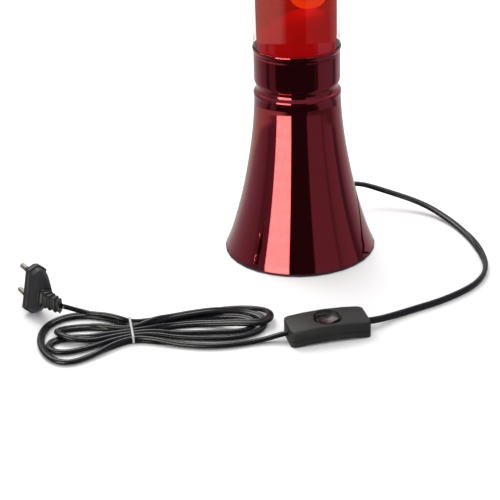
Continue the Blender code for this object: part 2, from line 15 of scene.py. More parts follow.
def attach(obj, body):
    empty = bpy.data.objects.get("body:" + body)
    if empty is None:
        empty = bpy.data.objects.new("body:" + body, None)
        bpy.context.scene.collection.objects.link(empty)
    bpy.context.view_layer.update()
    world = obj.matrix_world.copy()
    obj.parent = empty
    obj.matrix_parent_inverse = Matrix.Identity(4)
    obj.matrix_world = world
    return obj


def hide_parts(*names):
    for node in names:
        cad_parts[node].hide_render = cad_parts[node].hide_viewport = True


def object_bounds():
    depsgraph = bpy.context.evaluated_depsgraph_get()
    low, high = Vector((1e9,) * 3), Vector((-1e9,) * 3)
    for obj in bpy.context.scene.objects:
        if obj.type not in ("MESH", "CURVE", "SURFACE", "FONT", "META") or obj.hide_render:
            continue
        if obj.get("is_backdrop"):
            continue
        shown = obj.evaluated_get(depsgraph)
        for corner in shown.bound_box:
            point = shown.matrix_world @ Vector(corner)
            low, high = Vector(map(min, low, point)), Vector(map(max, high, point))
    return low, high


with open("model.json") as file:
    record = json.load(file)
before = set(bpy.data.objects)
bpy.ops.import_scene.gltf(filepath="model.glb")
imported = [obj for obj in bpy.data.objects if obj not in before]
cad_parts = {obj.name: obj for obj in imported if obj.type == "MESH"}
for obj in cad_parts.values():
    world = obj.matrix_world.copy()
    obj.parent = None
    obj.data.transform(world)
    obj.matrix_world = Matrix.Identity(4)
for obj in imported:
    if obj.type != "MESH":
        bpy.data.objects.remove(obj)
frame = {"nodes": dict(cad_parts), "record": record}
cad_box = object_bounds()

MM = 0.001
ROOT = "lamp_base"
scene = bpy.context.scene
scene.view_settings.view_transform = "Standard"

# ---------------------------------------------------------------- camera

# The pose and lens are a fit to the lamp's outline in the photograph.
CAMERA_PLACE = Vector((0.0, -0.95146, 0.46448))
CAMERA_RIGHT = Vector((0.99922041, 0.02418319, -0.03120481))
CAMERA_UP = Vector((0.01727915, 0.44279182, 0.89645794))
CAMERA_LOOK = Vector((-0.03549645, 0.89629826, -0.44202876))
CAMERA_LENS = 101.557

camera_data = bpy.data.cameras.new("camera")
camera_data.lens = CAMERA_LENS
camera_data.sensor_width = 36.0
camera_data.clip_start = 0.02
camera = bpy.data.objects.new("camera", camera_data)
scene.collection.objects.link(camera)
camera_axes = Matrix((CAMERA_RIGHT, CAMERA_UP, -CAMERA_LOOK)).transposed().to_4x4()
camera.matrix_world = Matrix.Translation(CAMERA_PLACE) @ camera_axes
scene.camera = camera


# ---------------------------------------------------------------- materials

def new_material(name, colour, metallic=0.0, roughness=0.4, **sockets):
    """A Principled material; further sockets are set by name with underscores for spaces."""
    material = bpy.data.materials.new(name)
    material.use_nodes = True
    shader = material.node_tree.nodes["Principled BSDF"]
    shader.inputs["Base Color"].default_value = (*colour, 1.0)
    shader.inputs["Metallic"].default_value = metallic
    shader.inputs["Roughness"].default_value = roughness
    for socket, value in sockets.items():
        shader.inputs[socket.replace("_", " ")].default_value = value
    return material


def texture_node(material, kind, scale, stretch=(1.0, 1.0, 1.0), detail=3.0):
    """A procedural texture in the object's own space; returns its factor output."""
    nodes = material.node_tree.nodes
    links = material.node_tree.links
    place = nodes.new("ShaderNodeTexCoord")
    mapping = nodes.new("ShaderNodeMapping")
    mapping.inputs["Scale"].default_value = stretch
    texture = nodes.new(kind)
    texture.inputs["Scale"].default_value = scale
    if "Detail" in texture.inputs:
        texture.inputs["Detail"].default_value = detail
    links.new(place.outputs["Object"], mapping.inputs["Vector"])
    links.new(mapping.outputs["Vector"], texture.inputs["Vector"])
    return texture.outputs["Fac" if "Fac" in texture.outputs else "Distance"]


def vary(material, factor, socket, low, high):
    """Drives a shader socket between two values, or two colours, by a texture factor."""
    nodes = material.node_tree.nodes
    links = material.node_tree.links
    shader = nodes["Principled BSDF"]
    ramp = nodes.new("ShaderNodeValToRGB")
    ramp.color_ramp.elements[0].position = 0.3
    ramp.color_ramp.elements[1].position = 0.7
    for element, value in zip(ramp.color_ramp.elements, (low, high)):
        element.color = (*value, 1.0) if isinstance(value, tuple) else (value, value, value, 1.0)
    links.new(factor, ramp.inputs["Fac"])
    links.new(ramp.outputs["Color"], shader.inputs[socket])


def bump(material, factor, strength, distance_mm):
    """Fine relief from a texture factor."""
    nodes = material.node_tree.nodes
    links = material.node_tree.links
    relief = nodes.new("ShaderNodeBump")
    relief.inputs["Strength"].default_value = strength
    relief.inputs["Distance"].default_value = distance_mm * MM
    links.new(factor, relief.inputs["Height"])
    links.new(relief.outputs["Normal"], nodes["Principled BSDF"].inputs["Normal"])


def moulded_plastic(name, dark, light, low, high, grain=900.0, strength=0.25):
    """Spark-textured moulded plastic with a slight unevenness of tone and gloss."""
    material = new_material(name, dark)
    cloud = texture_node(material, "ShaderNodeTexNoise", 60.0)
    vary(material, cloud, "Base Color", dark, light)
    fine = texture_node(material, "ShaderNodeTexNoise", grain)
    vary(material, fine, "Roughness", low, high)
    bump(material, fine, strength, 0.05)
    return material


def plain_metal(name, dark, light, low, high):
    """Bare metal with drawn or turned streaks round the upright axis."""
    material = new_material(name, dark, metallic=1.0)
    streaks = texture_node(material, "ShaderNodeTexNoise", 400.0, (0.08, 0.08, 4.0))
    vary(material, streaks, "Base Color", dark, light)
    vary(material, streaks, "Roughness", low, high)
    bump(material, streaks, 0.1, 0.02)
    return material


def lacquer_material():
    """Clear wine-red lacquer over polished, turned metal."""
    material = new_material("wine_lacquer", (0.5, 0.005, 0.014), metallic=1.0, roughness=0.03,
                            Coat_Weight=0.85, Coat_Roughness=0.01, Coat_IOR=1.5)
    cloud = texture_node(material, "ShaderNodeTexNoise", 9.0)
    vary(material, cloud, "Base Color", (0.49, 0.0045, 0.013), (0.51, 0.0055, 0.015))
    rings = texture_node(material, "ShaderNodeTexNoise", 90.0, (0.06, 0.06, 3.0))
    vary(material, rings, "Roughness", 0.028, 0.036)
    return material


def wax_material():
    """Deep red translucent wax with painted bulb light: it emits orange on faces turned down and dim red
    elsewhere.
    """
    material = new_material("wax_painted_glow", (0.6, 0.02, 0.005), roughness=0.45, Subsurface_Weight=0.25,
                            Subsurface_Scale=0.01)
    nodes = material.node_tree.nodes
    links = material.node_tree.links
    shader = nodes["Principled BSDF"]
    cloud = texture_node(material, "ShaderNodeTexNoise", 45.0)
    vary(material, cloud, "Base Color", (0.5, 0.012, 0.004), (0.68, 0.03, 0.008))
    bump(material, cloud, 0.2, 0.6)
    # Painted bulb light: emission set by how far each face turns down, orange underneath and dim red above.
    geometry = nodes.new("ShaderNodeNewGeometry")
    split = nodes.new("ShaderNodeSeparateXYZ")
    painted_bulb_glow = nodes.new("ShaderNodeValToRGB")
    underside, upper_side = painted_bulb_glow.color_ramp.elements
    underside.position = 0.3
    underside.color = (1.0, 0.5, 0.0, 1.0)
    upper_side.position = 0.46
    upper_side.color = (0.3, 0.006, 0.0, 1.0)
    remap = nodes.new("ShaderNodeMapRange")
    remap.inputs["From Min"].default_value = -1.0
    remap.inputs["From Max"].default_value = 1.0
    links.new(geometry.outputs["Normal"], split.inputs["Vector"])
    links.new(split.outputs["Z"], remap.inputs["Value"])
    links.new(remap.outputs["Result"], painted_bulb_glow.inputs["Fac"])
    links.new(painted_bulb_glow.outputs["Color"], shader.inputs["Emission Color"])
    shader.inputs["Emission Strength"].default_value = 1.3
    return material


def glass_material(name, colour, ior, low, high, **sockets):
    """Clear or tinted glass or liquid, with a faint unevenness of surface and gloss."""
    material = new_material(name, colour, roughness=low, IOR=ior, Transmission_Weight=1.0, **sockets)
    cloud = texture_node(material, "ShaderNodeTexNoise", 25.0)
    vary(material, cloud, "Roughness", low, high)
    bump(material, cloud, 0.03, 0.2)
    return material


lacquer = lacquer_material()
wax = wax_material()
# Neither bottle nor liquid bends light, so the wax shows where it is; the bottle's coat reflects.
bottle_glass = glass_material("bottle_glass", (0.97, 0.98, 0.97), 1.0, 0.0, 0.005, Coat_Weight=1.0,
                              Coat_Roughness=0.01, Coat_IOR=1.9)
liquid = glass_material("red_liquid", (0.26, 0.0024, 0.0), 1.0, 0.0, 0.005)
frosted = glass_material("frosted_glass", (0.9, 0.88, 0.82), 1.45, 0.3, 0.5)
case_plastic = moulded_plastic("switch_case_plastic", (0.014, 0.014, 0.013), (0.02, 0.02, 0.019), 0.5, 0.62)
rocker_plastic = moulded_plastic("rocker_plastic", (0.006, 0.006, 0.006), (0.009, 0.009, 0.009),
                                 0.2, 0.26, 300.0, 0.03)
plug_plastic = moulded_plastic("plug_plastic", (0.008, 0.008, 0.0085), (0.012, 0.012, 0.0125), 0.34, 0.44)
cord_sheath = moulded_plastic("cord_sheath", (0.0045, 0.0045, 0.0048), (0.007, 0.007, 0.0075),
                              0.24, 0.34, 500.0, 0.03)
foot_rubber = moulded_plastic("foot_rubber", (0.015, 0.015, 0.015), (0.025, 0.025, 0.025), 0.8, 0.95)
holder_plastic = moulded_plastic("holder_plastic", (0.74, 0.72, 0.66), (0.82, 0.8, 0.74), 0.3, 0.4)
liner_plastic = moulded_plastic("liner_plastic", (0.6, 0.6, 0.56), (0.7, 0.7, 0.66), 0.6, 0.7)
brown_core = moulded_plastic("brown_core", (0.2, 0.07, 0.02), (0.26, 0.1, 0.03), 0.4, 0.5)
blue_core = moulded_plastic("blue_core", (0.02, 0.08, 0.3), (0.03, 0.1, 0.38), 0.4, 0.5)
tie_plastic = moulded_plastic("tie_plastic", (0.36, 0.37, 0.38), (0.48, 0.48, 0.48), 0.35, 0.5)
steel = plain_metal("bright_steel", (0.5, 0.5, 0.5), (0.66, 0.66, 0.66), 0.2, 0.35)
brass = plain_metal("plain_brass", (0.55, 0.42, 0.2), (0.68, 0.54, 0.28), 0.2, 0.35)
pin_metal = plain_metal("pin_metal", (0.5, 0.46, 0.38), (0.62, 0.58, 0.5), 0.22, 0.34)

CAD_FINISHES = {
    "base_black": case_plastic, "foot_rubber": foot_rubber, "steel": steel, "brass": brass,
    "holder_plastic": holder_plastic, "bulb_metal": steel, "bulb_glass": frosted, "liner": liner_plastic,
    "cord_black": cord_sheath, "core_brown": brown_core, "core_blue": blue_core,
    "switch_black": case_plastic, "rocker_black": rocker_plastic, "plug_black": plug_plastic,
    "tie_grey": tie_plastic, "red_lacquer": lacquer, "wax": wax, "bottle_glass": bottle_glass,
}
node_slots = {entry["node"]: entry["material_slot"] for entry in frame["record"]["subparts"]}
for node_name, node_object in frame["nodes"].items():
    finish = CAD_FINISHES[node_slots[node_name]]
    if node_name.startswith("pin_") and "sleeve" not in node_name:
        finish = pin_metal
    for material_slot in node_object.material_slots:
        material_slot.material = finish


# ---------------------------------------------------------------- mesh helpers

def add_piece(name, points, faces, material, body=ROOT):
    """A smooth mesh piece, from points in millimetres, that rides on a body."""
    mesh = bpy.data.meshes.new(name)
    mesh.from_pydata([tuple(c * MM for c in p) for p in points], [], faces)
    mesh.materials.append(material)
    mesh.shade_smooth()
    mesh.update()
    piece = bpy.data.objects.new(name, mesh)
    scene.collection.objects.link(piece)
    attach(piece, body)
    return piece


def centripetal(points, per_span=16):
    """A smooth curve through points of any dimension, with no overshoot at uneven spacings."""
    known = [np.array(p, float) for p in points]
    known = [2 * known[0] - known[1]] + known + [2 * known[-1] - known[-2]]
    curve = []
    for a, b, c, d in zip(known, known[1:], known[2:], known[3:]):
        ta = 0.0
        tb = ta + np.linalg.norm(b - a) ** 0.5
        tc = tb + np.linalg.norm(c - b) ** 0.5
        td = tc + np.linalg.norm(d - c) ** 0.5
        for t in np.linspace(tb, tc, per_span, endpoint=False):
            ab = (tb - t) / (tb - ta) * a + (t - ta) / (tb - ta) * b
            bc = (tc - t) / (tc - tb) * b + (t - tb) / (tc - tb) * c
            cd = (td - t) / (td - tc) * c + (t - tc) / (td - tc) * d
            abc = (tc - t) / (tc - ta) * ab + (t - ta) / (tc - ta) * bc
            bcd = (td - t) / (td - tb) * bc + (t - tb) / (td - tb) * cd
            curve.append((tc - t) / (tc - tb) * abc + (t - tb) / (tc - tb) * bcd)
    curve.append(known[-2])
    return np.array(curve)


def ring_faces(rings, size, first=0, closed=False):
    """Quads between successive rings of points; a closed run ends on the ring it began with."""
    faces = []
    for k in range(rings if closed else rings - 1):
        near = first + k * size
        far = first + (k + 1) % rings * size
        for i in range(size):
            j = (i + 1) % size
            faces.append((near + i, near + j, far + j, far + i))
    return faces


ON_AXIS = 1e-6


def turn_profile(name, profile, material, body=ROOT, segments=160):
    """A surface of revolution about the lamp's axis, its profile a closed loop or axis to axis."""
    closed = profile[0][0] > ON_AXIS
    points = []
    starts = []
    for radius, height in profile:
        starts.append(len(points))
        if radius < ON_AXIS:
            points.append((0.0, 0.0, height))
            continue
        for k in range(segments):
            angle = 2.0 * math.pi * k / segments
            points.append((radius * math.cos(angle), radius * math.sin(angle), height))
    faces = []
    count = len(profile)
    for i in range(count if closed else count - 1):
        j = (i + 1) % count
        for k in range(segments):
            n = (k + 1) % segments
            ring_i = [starts[i]] if profile[i][0] < ON_AXIS else [starts[i] + k, starts[i] + n]
            ring_j = [starts[j]] if profile[j][0] < ON_AXIS else [starts[j] + n, starts[j] + k]
            faces.append(tuple(ring_i + ring_j))
    piece = add_piece(name, points, faces, material, body)
    piece.data.validate()
    orient(piece.data)
    return piece


def orient(mesh):
    """Turns all faces outward."""
    work = bmesh.new()
    work.from_mesh(mesh)
    bmesh.ops.recalc_face_normals(work, faces=work.faces)
    work.to_mesh(mesh)
    work.free()


SAME_POINT = 1e-6
SAME_PLANE = 1.0


def refined(node, name, material, body, width_mm, segments=3, angle=30.0):
    """A copy of a CAD node with its edges rounded over, standing for that node."""
    mesh = frame["nodes"][node].data.copy()
    mesh.name = name
    work = bmesh.new()
    work.from_mesh(mesh)
    bmesh.ops.remove_doubles(work, verts=work.verts, dist=SAME_POINT)
    bmesh.ops.dissolve_limit(work, angle_limit=math.radians(SAME_PLANE), verts=work.verts,
                             edges=work.edges)
    work.to_mesh(mesh)
    work.free()
    mesh.materials.clear()
    mesh.materials.append(material)
    mesh.shade_smooth()
    piece = bpy.data.objects.new(name, mesh)
    scene.collection.objects.link(piece)
    bevel = piece.modifiers.new("round_edges", "BEVEL")
    bevel.width = width_mm * MM
    bevel.segments = segments
    bevel.limit_method = "ANGLE"
    bevel.angle_limit = math.radians(angle)
    bevel.harden_normals = True
    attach(piece, body)
    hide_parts(node)
    return piece


# ---------------------------------------------------------------- cords

CORD_WIDTH = 5.3
CORD_THICKNESS = 3.3
HALF_WIDTH = CORD_WIDTH / 2.0
HALF_THICKNESS = CORD_THICKNESS / 2.0
GROOVE_HALF = 0.55
GROOVE_DEPTH = 0.28
EDGE_POINTS = 7
EDGE_STEP = 28.0
EDGE_START = -84.0
RING_SPACING = 2.5
ROUTE_STEPS = 24
FIXED_RINGS = 3
EXIT_BEARING = 55.0
TIE_CENTRE = np.array([-113.05, -135.25])
TIE_ACROSS = np.array([-0.195, 0.981])
TIE_ALONG = np.array([0.981, 0.195])
TIE_PITCH = 3.35
MIDDLE_STRAND = 4


def radial(distance, height):
    """A point on the line that the cord leaves the base along."""
    angle = math.radians(EXIT_BEARING)
    return (distance * math.cos(angle), distance * math.sin(angle), height)


def at_tie(place, lift=0.0):
    """Where one of the seven strands passes through the tie, counted from the back."""
    spot = TIE_CENTRE + TIE_ACROSS * (MIDDLE_STRAND - place) * TIE_PITCH
    return (spot[0], spot[1], lift)


# Route points are (x, y, lift) in millimetres: the lift is how high the cord's underside is.
LAMP_ROUTE = [
    radial(58, 20.3), radial(66, 20.3), radial(73, 20.2), (45.8, 62.2, 19.0), (51, 65.2, 16.9),
    (58, 66.0, 14.4), (67, 63.6, 12.2), (78, 59.6, 9.8), (90, 54.6, 7.1), (101, 47.0, 4.5),
    (110, 36.8, 2.3), (118, 24.2, 0.8), (126.8, 1.5, 0), (131.5, -22, 0), (132.8, -43, 0),
    (129.5, -60, 0), (121.5, -75, 0), (109, -88, 0), (94, -99.5, 0), (78, -109, 0),
    (62, -119.2, 0.6), (52.5, -126.4, 2.0), (44.4, -130.6, 3.0), (42.0, -131.2, 3.1),
]
HANK_ROUTE = [
    (-7.4, -144.4, 3.6), (-14, -145.8, 2.8), (-20.5, -146.8, 1.2), (-29, -148.8, 0), (-45, -153.0, 0),
    (-57, -154.4, 0), (-69, -153.6, 0), (-86, -149.8, 0), (-99, -146.6, 0),
    at_tie(7),
    (-124, -153.4, 0), (-133, -161.6, 0), (-142, -169, 0), (-150.5, -173.2, 0), (-159, -170.5, 0),
    (-166.5, -161.5, 0), (-171.5, -150, 0), (-173.3, -137, 0), (-171, -124.5, 0), (-162, -114, 0),
    (-149, -110.2, 0), (-137, -112.6, 0), (-127, -118, 0), (-120.5, -124, 0),
    at_tie(2),
    (-102, -125.4, 0), (-85, -120.8, 0), (-68, -116.9, 0), (-51, -115.6, 0), (-40, -116.8, 0),
    (-31.8, -122, 0), (-32, -130.5, 0), (-40, -135.2, 0), (-53, -136, 0), (-77, -136.6, 0),
    (-98, -136.2, 0),
    at_tie(5),
    (-127, -143.2, 0), (-139, -145.8, 0.4), (-150, -147, 2.2), (-158.5, -143.8, 3.8),
    (-163.5, -137, 2.2), (-160.5, -130.5, 0.3), (-151, -127.6, 0), (-140, -127, 0), (-128, -129.3, 0),
    at_tie(3),
    (-107, -130.6, 1.8), (-101, -128.2, 3.8), (-90, -123, 3.9), (-78, -118.4, 3.9), (-68, -115.8, 4.1),
    (-58, -113.6, 4.0), (-48, -110.6, 1.8), (-38.5, -109.4, 0), (-29.5, -114, 0), (-24.8, -122.5, 0),
    (-26, -133, 0), (-34, -140.5, 0), (-46, -144.2, 0), (-60, -144.6, 0), (-77, -142.8, 0),
    (-97, -140.6, 0),
    at_tie(6),
    (-125, -147.9, 0), (-138, -153.4, 0), (-148.5, -158.6, 0), (-158.5, -160.2, 0),
    (-165.6, -155.6, 0), (-166.4, -147.8, 0), (-160, -142.4, 0), (-150, -141.2, 0), (-139, -140.9, 0),
    (-127, -138.9, 0),
    at_tie(4),
    (-101, -131.6, 0), (-85, -126.6, 0), (-69, -124.4, 0), (-53, -126.6, 1.4), (-43.5, -129.2, 3.2),
    (-33.5, -131.4, 3.8), (-24.8, -130.2, 3.8), (-20.4, -123.5, 3.8), (-21.7, -114.2, 2.8),
    (-29, -106.4, 1.0), (-40, -103.0, 0), (-51, -103.9, 0), (-68, -109.0, 0), (-85, -115.6, 0),
    (-101, -121.2, 0.3),
    at_tie(1, 1.2),
    (-121.5, -125.2, 4.2), (-128.5, -122.2, 4.8), (-136, -119.2, 4.6), (-144, -117.2, 5.4),
    (-152, -117.6, 8.4), (-160.9, -120.6, 13.2),
]

# Rolls in degrees, and where they change: millimetres from the tie, or shares of the length.
TIE_ROLL = 88.0
LOOP_ROLL = 24.0
TIE_ROLL_REACH = 9.0
TIE_ROLL_FADE = 22.0
SWITCH_ROLL = 78.0
SWITCH_ROLL_START = 0.38
SWITCH_ROLL_FADE = 0.2


def ease(value, start, span):
    """0 at start, 1 a span later, and smooth between."""
    t = min(1.0, max(0.0, (value - start) / span))
    return t * t * (3.0 - 2.0 * t)


# A roll function is given a place on the cord and that place's share of the length.
def hank_roll(point, share):
    """Strands stand on edge side by side in the tie and lie nearly flat beyond it."""
    t = ease(abs((point[:2] - TIE_CENTRE) @ TIE_ALONG), TIE_ROLL_REACH, TIE_ROLL_FADE)
    return math.radians(TIE_ROLL * (1.0 - t) + LOOP_ROLL * t)


def lamp_roll(point, share):
    """Flat where it comes down from the base, on edge from the far bend to the switch."""
    return math.radians(SWITCH_ROLL) * ease(share, SWITCH_ROLL_START, SWITCH_ROLL_FADE)


def cord_line(route, settle):
    """Evenly spaced places along a route, evened out in settle rounds except at the ends."""
    fine = centripetal(route, ROUTE_STEPS)
    reach = np.concatenate([[0.0], np.cumsum(np.linalg.norm(np.diff(fine, axis=0), axis=1))])
    count = int(round(reach[-1] / RING_SPACING))
    wanted = np.linspace(0.0, reach[-1], count + 1)
    line = np.stack([np.interp(wanted, reach, fine[:, k]) for k in range(3)], axis=1)
    for _ in range(settle):
        evened = 0.25 * line[:-2] + 0.5 * line[1:-1] + 0.25 * line[2:]
        line[FIXED_RINGS:-FIXED_RINGS] = evened[FIXED_RINGS - 1:1 - FIXED_RINGS]
    return line


def cord_section():
    """The twin cord's outline, as (wide, thin) pairs: round edges and a groove on each flat side."""
    section = []
    for side in (1.0, -1.0):
        for step in range(EDGE_POINTS):
            angle = math.radians(EDGE_START + EDGE_STEP * step)
            wide = side * (HALF_WIDTH - HALF_THICKNESS + HALF_THICKNESS * math.cos(angle))
            section.append((wide, side * HALF_THICKNESS * math.sin(angle)))
        section.append((side * GROOVE_HALF, side * HALF_THICKNESS))
        section.append((0.0, side * (HALF_THICKNESS - GROOVE_DEPTH)))
        section.append((-side * GROOVE_HALF, side * HALF_THICKNESS))
    return section


def flat_cord(name, route, roll, settle):
    """A flat twin cord swept along a route; returns the piece and its centre line in metres."""
    line = cord_line(route, settle)
    count = len(line) - 1
    rolls = [roll(p, k / count) for k, p in enumerate(line)]
    for point, turn in zip(line, rolls):
        point[2] += (HALF_WIDTH - HALF_THICKNESS) * abs(math.sin(turn)) + HALF_THICKNESS
    section = cord_section()
    points = []
    for place, tangent, turn in zip(line, np.gradient(line, axis=0), rolls):
        tangent = tangent / np.linalg.norm(tangent)
        level = np.cross((0.0, 0.0, 1.0), tangent)
        level = level / np.linalg.norm(level)
        up = np.cross(tangent, level)
        wide = math.cos(turn) * level + math.sin(turn) * up
        thin = -math.sin(turn) * level + math.cos(turn) * up
        points += [tuple(place + wide * a + thin * b) for a, b in section]
    size = len(section)
    faces = [tuple(reversed(range(size))), tuple(count * size + i for i in range(size))]
    piece = add_piece(name, points, faces + ring_faces(count + 1, size), cord_sheath)
    orient(piece.data)
    return piece, [tuple(float(c) * MM for c in p) for p in line]


switch_cover = refined("switch_cover", "switch_cover_skin", case_plastic, ROOT, 0.45, 3, 25.0)
switch_cover.data.materials.append(rocker_plastic)
# The cover's round dish, where the rocker sits, takes the rocker's glossier and darker plastic; the gloss is
# real, the darker tone is partly painted shade of the recess.
DISH_CENTRE = Vector((17.0, -138.0))
DISH_REACH = 10.45
DISH_FLOOR = 11.5
for face in switch_cover.data.polygons:
    corners = [switch_cover.data.vertices[i].co / MM for i in face.vertices]
    if all((c.xy - DISH_CENTRE).length < DISH_REACH and c.z > DISH_FLOOR for c in corners):
        face.material_index = 1
switch_rocker = refined("switch_rocker", "switch_rocker_skin", rocker_plastic, "switch_rocker", 0.35)
plug_body = refined("plug_body", "plug_body_skin", plug_plastic, ROOT, 0.55, 3, 14.0)
plug_boot = refined("plug_boot", "plug_boot_skin", plug_plastic, ROOT, 0.28, 2, 20.0)
bushing = refined("cord_bushing", "cord_bushing_skin", case_plastic, ROOT, 0.3, 2, 30.0)

# The tie is a thin strip; its outline is (across the strands, height), its section (along, inward).
TIE_OUTLINE = [
    (-12.2, 0.9), (-12.9, 3.2), (-12.3, 5.7), (-9.0, 6.4), (0.0, 6.6), (9.0, 7.2),
    (12.4, 7.0), (13.2, 4.8), (12.7, 1.5), (10.5, 0.45), (0.0, 0.45), (-10.5, 0.45),
]
TIE_SECTION = [(-0.8, 0.0), (-0.45, -0.3), (0.45, -0.3), (0.8, 0.0), (0.45, 0.3), (-0.45, 0.3)]
TIE_STEPS = 6
TIE_MIDDLE = 3.4


def tie_skin():
    """A strip wrapped once round all seven strands."""
    outline = [TIE_OUTLINE[-1]] + TIE_OUTLINE + TIE_OUTLINE[:2]
    points = []
    for across, height in centripetal(outline, TIE_STEPS)[TIE_STEPS:-TIE_STEPS - 1]:
        inward = np.array([-across, TIE_MIDDLE - height])
        inward = inward / np.linalg.norm(inward)
        for along, sink in TIE_SECTION:
            spot = TIE_CENTRE + TIE_ACROSS * (across + inward[0] * sink) + TIE_ALONG * along
            points.append((spot[0], spot[1], height + inward[1] * sink))
    size = len(TIE_SECTION)
    faces = ring_faces(len(points) // size, size, closed=True)
    piece = add_piece("cord_tie_skin", points, faces, tie_plastic)
    orient(piece.data)
    return piece


tie = tie_skin()
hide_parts("cord_tie")

lamp_lead, lamp_path = flat_cord("lamp_lead", LAMP_ROUTE, lamp_roll, 2)
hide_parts("lamp_cord")
plug_lead, plug_path = flat_cord("plug_lead", HANK_ROUTE, hank_roll, 6)
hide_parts("switch_tail", "cord_hank", "plug_tail")


# ---------------------------------------------------------------- base, bottle and cap

# Profiles are (radius, height) in millimetres.
SHELL_FLARE = [
    (31.0, 119.6), (31.0, 115.0), (31.3, 110.0), (32.1, 100.0), (34.0, 84.5), (36.4, 70.0), (39.3, 55.0),
    (42.7, 40.0), (46.7, 25.5), (50.7, 12.9), (54.3, 3.4),
]
SHELL_NECK = [
    (30.5, 155.1), (30.7, 155.5), (31.0, 155.5), (31.25, 155.1), (31.3, 154.3), (31.1, 153.4),
    (30.75, 152.6), (30.6, 151.6), (30.6, 150.2), (30.6, 145.0), (30.6, 138.0), (30.6, 133.0),
    (30.5, 130.9), (30.0, 129.3), (29.3, 128.0), (28.95, 126.6), (29.05, 125.2), (29.6, 124.1),
    (30.5, 123.3), (31.1, 122.5), (31.3, 121.6),
]
SHELL_INSIDE = [
    (53.6, 2.5), (49.4, 12.9), (45.4, 25.5), (41.4, 40.0), (38.0, 55.0), (35.1, 70.0), (32.7, 84.5),
    (30.9, 100.0), (30.0, 110.0), (29.8, 121.0), (28.2, 124.4), (27.8, 126.4), (29.4, 130.6), (29.6, 148.0),
    (29.8, 152.0),
]
SHELL_FOOT = [(54.95, 2.2), (55.1, 1.9), (54.9, 1.7), (53.9, 2.0)]
shell_profile = [tuple(p) for p in centripetal(SHELL_NECK + SHELL_FLARE, 5)] + SHELL_FOOT
shell_profile += [tuple(p) for p in centripetal(SHELL_INSIDE, 3)]
shell = turn_profile("shell_skin", shell_profile, lacquer, segments=192)
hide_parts("base_shell")

RIM_PROFILE = [(54.4, 1.5), (54.9, 1.4), (55.1, 1.0), (54.9, 0.55), (54.4, 0.45)]
turn_profile("plate_rim", RIM_PROFILE, case_plastic, segments=192)

GLASS_OUTSIDE = [
    (29.2, 132.3), (29.2, 148.5), (29.5, 152.0), (29.9, 154.6), (30.5, 156.4), (30.6, 158.0), (30.6, 190.0),
    (30.5, 214.0), (29.8, 240.0), (28.5, 265.0), (26.7, 289.0), (24.6, 311.0), (22.9, 328.0), (21.6, 338.0),
    (19.0, 348.0), (14.6, 355.6), (12.5, 360.5), (12.2, 365.6), (12.9, 367.4), (12.9, 370.4), (11.4, 371.0),
]
GLASS_FOOT = [
    (0.0, 127.2), (14.0, 126.2), (18.0, 125.0), (21.2, 124.3), (24.2, 124.9), (26.6, 126.4), (28.4, 128.9),
]
GLASS_INSIDE = [
    (10.0, 370.6), (10.0, 361.0), (11.9, 354.4), (16.4, 346.6), (19.3, 338.0), (20.5, 328.0), (22.2, 311.0),
    (24.3, 289.0), (26.1, 265.0), (27.4, 240.0), (28.2, 214.0), (28.35, 190.0), (28.1, 159.0), (27.5, 154.0),
    (26.9, 149.0), (26.8, 140.0), (26.0, 134.4), (24.0, 131.4), (20.5, 129.8), (14.0, 130.0), (0.0, 130.6),
]
# Below the liquid's surface the bottle is modelled solid, and the liquid lies within it.
FILL_HEIGHT = 350.0
SURFACE_GAP = 0.1
SURFACE_RADIUS = 14.2
WALL_ENDS_ABOVE = 0.5
glass_profile = [tuple(p) for p in centripetal(GLASS_FOOT + GLASS_OUTSIDE, 4)]
glass_profile += [tuple(p) for p in centripetal(GLASS_INSIDE, 4) if p[1] > FILL_HEIGHT + WALL_ENDS_ABOVE]
glass_profile += [(SURFACE_RADIUS, FILL_HEIGHT + SURFACE_GAP), (0.0, FILL_HEIGHT + SURFACE_GAP)]
bottle = turn_profile("bottle_skin", glass_profile, bottle_glass, "bottle", 160)
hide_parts("glass_bottle")

# At the collar the liquid is drawn wider, so that it still holds the wax pool.
WIDER_FROM = 138.0
WIDER_TO = 156.0
WIDER_BY = 0.9
fill_profile = [(0.0, FILL_HEIGHT)]
for radius, height in centripetal(GLASS_INSIDE, 4):
    if height < FILL_HEIGHT:
        extra = WIDER_BY if WIDER_FROM < height < WIDER_TO else 0.0
        fill_profile.append((radius + extra, height))
turn_profile("liquid_fill", fill_profile, liquid, "bottle", 128)

CAP_OUTSIDE = [
    (22.9, 333.7), (23.4, 333.6), (23.9, 333.6), (24.1, 334.2), (24.0, 335.4), (22.5, 347.0), (20.0, 369.0),
    (17.9, 387.6), (17.5, 389.8), (17.0, 391.0), (16.0, 391.7), (14.6, 392.0), (7.0, 392.0), (0.0, 392.0),
]
CAP_INSIDE = [(0.0, 391.0), (14.6, 391.0), (16.2, 390.2), (16.7, 388.6), (22.7, 336.0)]
cap_profile = CAP_INSIDE + [tuple(p) for p in centripetal(CAP_OUTSIDE, 4)]
cap = turn_profile("cap_skin", cap_profile, lacquer, "top_cap", 160)
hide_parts("top_cap")


WAX_RINGS = 40
WAX_SIDES = 64
FULLNESS_BELOW = 1.12
HEAD_POWER = 0.9
UNEVENNESS = 0.05
UNEVEN_MIDDLE = 0.3
UNEVEN_RATE = 0.03


